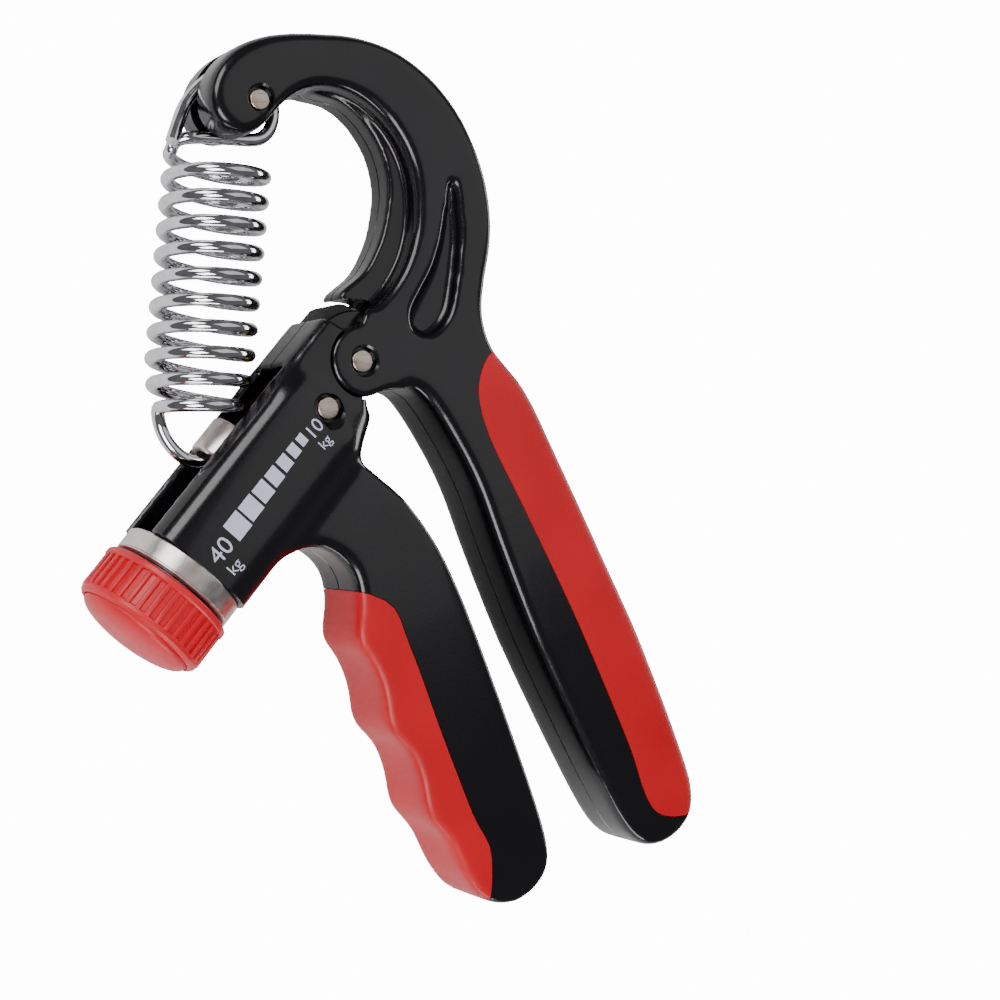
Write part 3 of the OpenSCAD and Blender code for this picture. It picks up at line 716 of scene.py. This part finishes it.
# rubber stop on the eye, between the cheeks
stop = {"half": 4.8, "bevel": 0.3, "cutHalf": 9,
        "line": [(-7.4, 5.9), (-6.6, 7.2), (-5.6, 8.3), (-4.6, 9.5), (-3.4, 10), (-2, 9.9), (-0.8, 9), (0.5, 7.4),
                 (-1.2, 7.4), (-4, 6.6)]}


def makeStop():
    piece = plate("stopBuffer", stop["line"], -stop["half"], stop["half"])
    bm = bmesh.new()
    bm.from_mesh(piece.data)
    bmesh.ops.bevel(bm, geom=bm.edges[:], offset=stop["bevel"], segments=3, profile=0.5, affect="EDGES",
                    material=-1)
    bm.to_mesh(piece.data)
    bm.free()
    combine(piece, rod("eyeCut", barrel["eyeRadius"], -stop["cutHalf"], stop["cutHalf"], 0, 128), "DIFFERENCE")
    settle(piece, "finger_handle", blackRubber, ["stop_buffer"])


makeStop()

# printed scale: bars and generic numbers, laid on the barrel's side
scale = {"bars": 7, "first": 19.0, "step": 2.2, "growth": 0.145, "above": (1.05, -0.06), "wide": (1.5, 0.33),
         "tall": (2.05, 0.31), "drawnAt": 12, "cutEvery": 0.7, "cuts": 8, "cutMiddle": 30, "proud": 0.03,
         "words": [("10", 3.5, 16.1, 0.4), ("kg", 2.6, 16.5, -2.5), ("40", 4.4, 42.4, 0.2), ("kg", 2.9, 42.9, -3.3)]}


def textMesh(word, size):
    data = bpy.data.curves.new("word", "FONT")
    data.body, data.size = word, size
    data.align_x = data.align_y = "CENTER"
    data.resolution_u = 6
    letters = bpy.data.objects.new("word", data)
    bpy.context.scene.collection.objects.link(letters)
    graph = bpy.context.evaluated_depsgraph_get()
    mesh = bpy.data.meshes.new_from_object(letters.evaluated_get(graph))
    bpy.data.objects.remove(letters)
    return mesh


def makeScale():
    # drawn flat beside the barrel and cut fine, so that it can follow the skin
    bm = bmesh.new()
    # text runs towards the pivot, with its top on the spring's side
    writing = Matrix((-barrelDown, barrelUp, Vector((0, 0, 1)))).transposed().to_4x4()
    for k in range(scale["bars"]):
        along = scale["first"] + scale["step"] * k + scale["growth"] * k * k
        above, wide, tall = (scale[name][0] + scale[name][1] * k for name in ("above", "wide", "tall"))
        place = Matrix.Translation(onBarrel(along, above, scale["drawnAt"])) @ writing
        bmesh.ops.create_grid(bm, x_segments=6, y_segments=8, size=0.5,
                              matrix=place @ Matrix.Diagonal((wide, tall, 1, 1)))
    for word, size, along, above in scale["words"]:
        mesh = textMesh(word, size)
        mesh.transform(Matrix.Translation(onBarrel(along, above, scale["drawnAt"])) @ writing)
        bm.from_mesh(mesh)
    for step in range(-scale["cuts"], scale["cuts"] + 1):
        for normal, middle in ((barrelUp, 0), (barrelDown, scale["cutMiddle"])):
            bmesh.ops.bisect_plane(bm, geom=bm.verts[:] + bm.edges[:] + bm.faces[:], dist=0.0001, plane_no=normal,
                                   plane_co=normal * (step * scale["cutEvery"] + middle))
    return pieceFrom(bm, "scalePrint")


def layScale():
    # dropped on the near shell, with the ink standing a hair proud
    piece = makeScale()
    piece.data.transform(toFrame)
    wrapOn = piece.modifiers.new("lay", "SHRINKWRAP")
    wrapOn.target = fingerNear
    wrapOn.wrap_method = "PROJECT"
    wrapOn.use_project_z = True
    wrapOn.use_negative_direction = True
    wrapOn.use_positive_direction = False
    wrapOn.offset = scale["proud"] / 1000
    freeze(piece)
    shade(piece, 50)
    piece.data.materials.clear()
    piece.data.materials.append(printInk)
    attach(piece, "finger_handle")
    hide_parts("scale_print")


layScale()
print("scale laid")

# CAD nodes that stay as they are
for node, material in {"pivot_washers": zincSteel, "inner_bearing": turnedBrass, "outer_bush": turnedBrass,
                       "thrust_washer": zincSteel, "lead_screw": zincSteel, "screw_clip": zincSteel,
                       "knob_screw": zincSteel}.items():
    kept = frame["nodes"][node]
    kept.data.materials.clear()
    kept.data.materials.append(material)

# camera, floor and light
view = {"turnDegrees": 31, "distance": 340, "target": (32, -24, 0), "lens": 66.096, "sensor": 36}
light = {"world": 0.14, "sweepGlow": 16.0, "sweepShare": 0.9,
         "lamps": [("key", (-0.3, -0.22, 0.62), (0.35, 0.35), 3.2), ("sheen", (0.36, 0.27, 0.6), (0.6, 0.7), 0.85),
                   ("topLeft", (-0.42, 0.42, 0.48), (0.4, 0.4), 3), ("rightStrip", (0.75, 0.1, 0.1), (0.5, 0.2), 1.5),
                   ("lowStrip", (-0.1, -0.7, 0.2), (0.5, 0.15), 2)]}


def makeCamera():
    turn = math.radians(view["turnDegrees"])
    away = Vector((-math.sin(turn), 0, math.cos(turn)))
    place = toFrame @ (Vector(view["target"]) + away * view["distance"])
    right = Vector((math.cos(turn), 0, math.sin(turn)))
    data = bpy.data.cameras.new("camera")
    data.lens = view["lens"]
    data.sensor_width = view["sensor"]
    data.clip_start = 0.01
    camera = bpy.data.objects.new("camera", data)
    bpy.context.scene.collection.objects.link(camera)
    camera.matrix_world = Matrix.Translation(place) @ Matrix((right, Vector((0, 1, 0)), away)).transposed().to_4x4()
    bpy.context.scene.camera = camera


def areaLight(name, place, aim, size, power):
    data = bpy.data.lights.new(name, "AREA")
    data.shape = "RECTANGLE"
    data.size, data.size_y = size
    data.energy = power
    lamp = bpy.data.objects.new(name, data)
    bpy.context.scene.collection.objects.link(lamp)
    direction = Vector(aim) - Vector(place)
    lamp.matrix_world = Matrix.Translation(place) @ direction.to_track_quat("-Z", "Y").to_matrix().to_4x4()


def makeSet():
    bm = bmesh.new()
    bmesh.ops.create_grid(bm, x_segments=8, y_segments=8, size=2.0)
    ground = pieceFrom(bm, "floor")
    # a white sweep that looks brighter to the camera than it shines on the object
    material, tree = blankMaterial("whiteSweep")
    shader = addNode(tree, "ShaderNodeBsdfDiffuse", {"Color": colour("#F4F4F4")})
    glow = addNode(tree, "ShaderNodeEmission", {"Color": (1, 1, 1, 1), "Strength": light["sweepGlow"]})
    ray = addNode(tree, "ShaderNodeLightPath").outputs["Is Camera Ray"]
    share = addNode(tree, "ShaderNodeMapRange", {"To Max": light["sweepShare"]}, {"Value": ray})
    mixed = addNode(tree, "ShaderNodeMixShader", links={"Fac": share.outputs["Result"]})
    tree.links.new(shader.outputs["BSDF"], mixed.inputs[1])
    tree.links.new(glow.outputs["Emission"], mixed.inputs[2])
    addNode(tree, "ShaderNodeOutputMaterial", links={"Surface": mixed.outputs["Shader"]})
    ground.data.materials.append(material)
    world = bpy.data.worlds.new("studio")
    bpy.context.scene.world = world
    world.use_nodes = True
    world.node_tree.nodes["Background"].inputs["Color"].default_value = (0.95, 0.96, 1, 1)
    world.node_tree.nodes["Background"].inputs["Strength"].default_value = light["world"]
    for name, place, size, power in light["lamps"]:
        areaLight(name, place, (0, 0, 0.01), size, power)


makeCamera()
makeSet()
